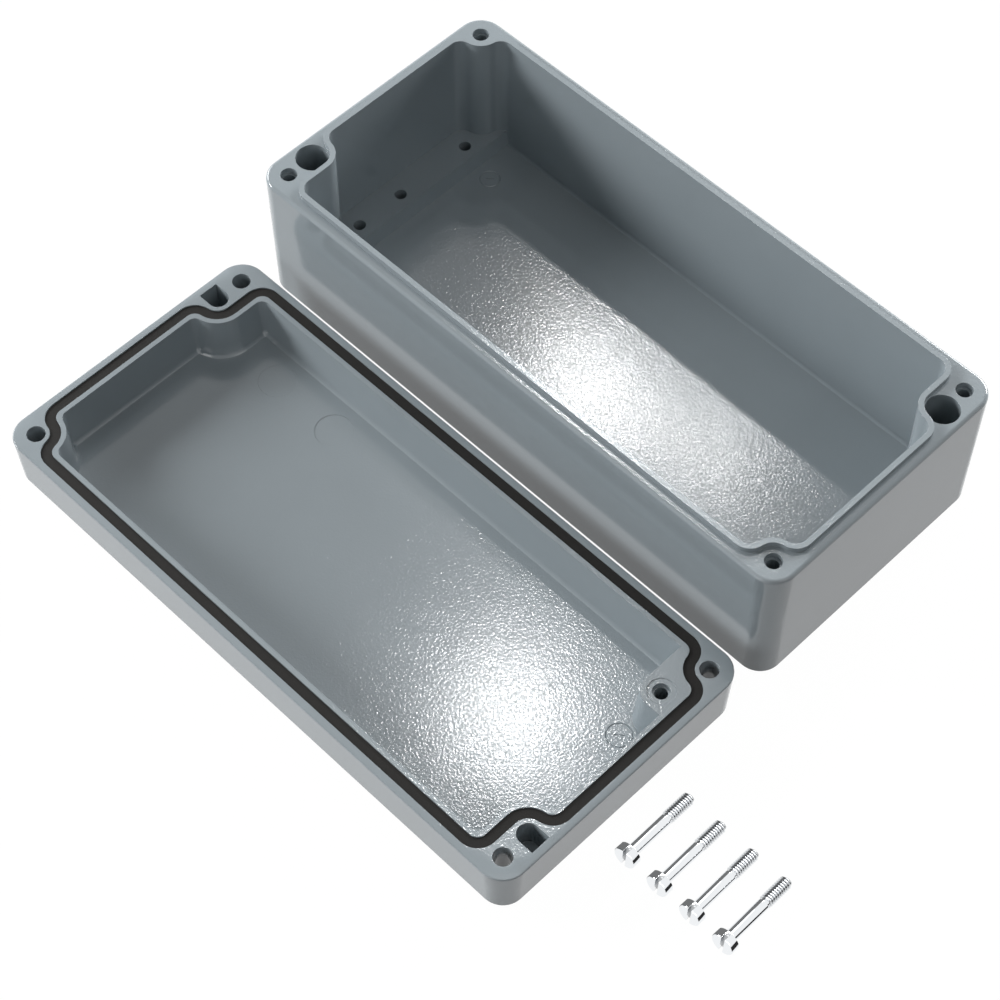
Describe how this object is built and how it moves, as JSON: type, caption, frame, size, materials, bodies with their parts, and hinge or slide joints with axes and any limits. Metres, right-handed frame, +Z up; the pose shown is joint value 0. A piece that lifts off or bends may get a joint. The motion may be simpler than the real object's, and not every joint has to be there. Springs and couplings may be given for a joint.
{
  "type": "die cast aluminium enclosure",
  "caption": "Rectangular die cast aluminium enclosure, open: deep base with tongued rim and corner bosses, grooved lid with gasket lying beside it, slotted cover screws.",
  "frame": {"origin": "centre of the base's underside", "axes": "+Z up out of the base's open side, X along the long side, the lid lies towards -Y"},
  "size_m": [0.2176, 0.1667, 0.0432],
  "materials": {
    "painted_casting": "painted, gloss, fine grain",
    "gasket_rubber": "matt",
    "plated_steel": "bright"
  },
  "bodies": {
    "root": {"box_base": "painted_casting", "lid": "painted_casting", "gasket": "gasket_rubber", "cover_screw_1": "plated_steel", "cover_screw_2": "plated_steel", "cover_screw_3": "plated_steel", "cover_screw_4": "plated_steel"}
  },
  "joints": []
}
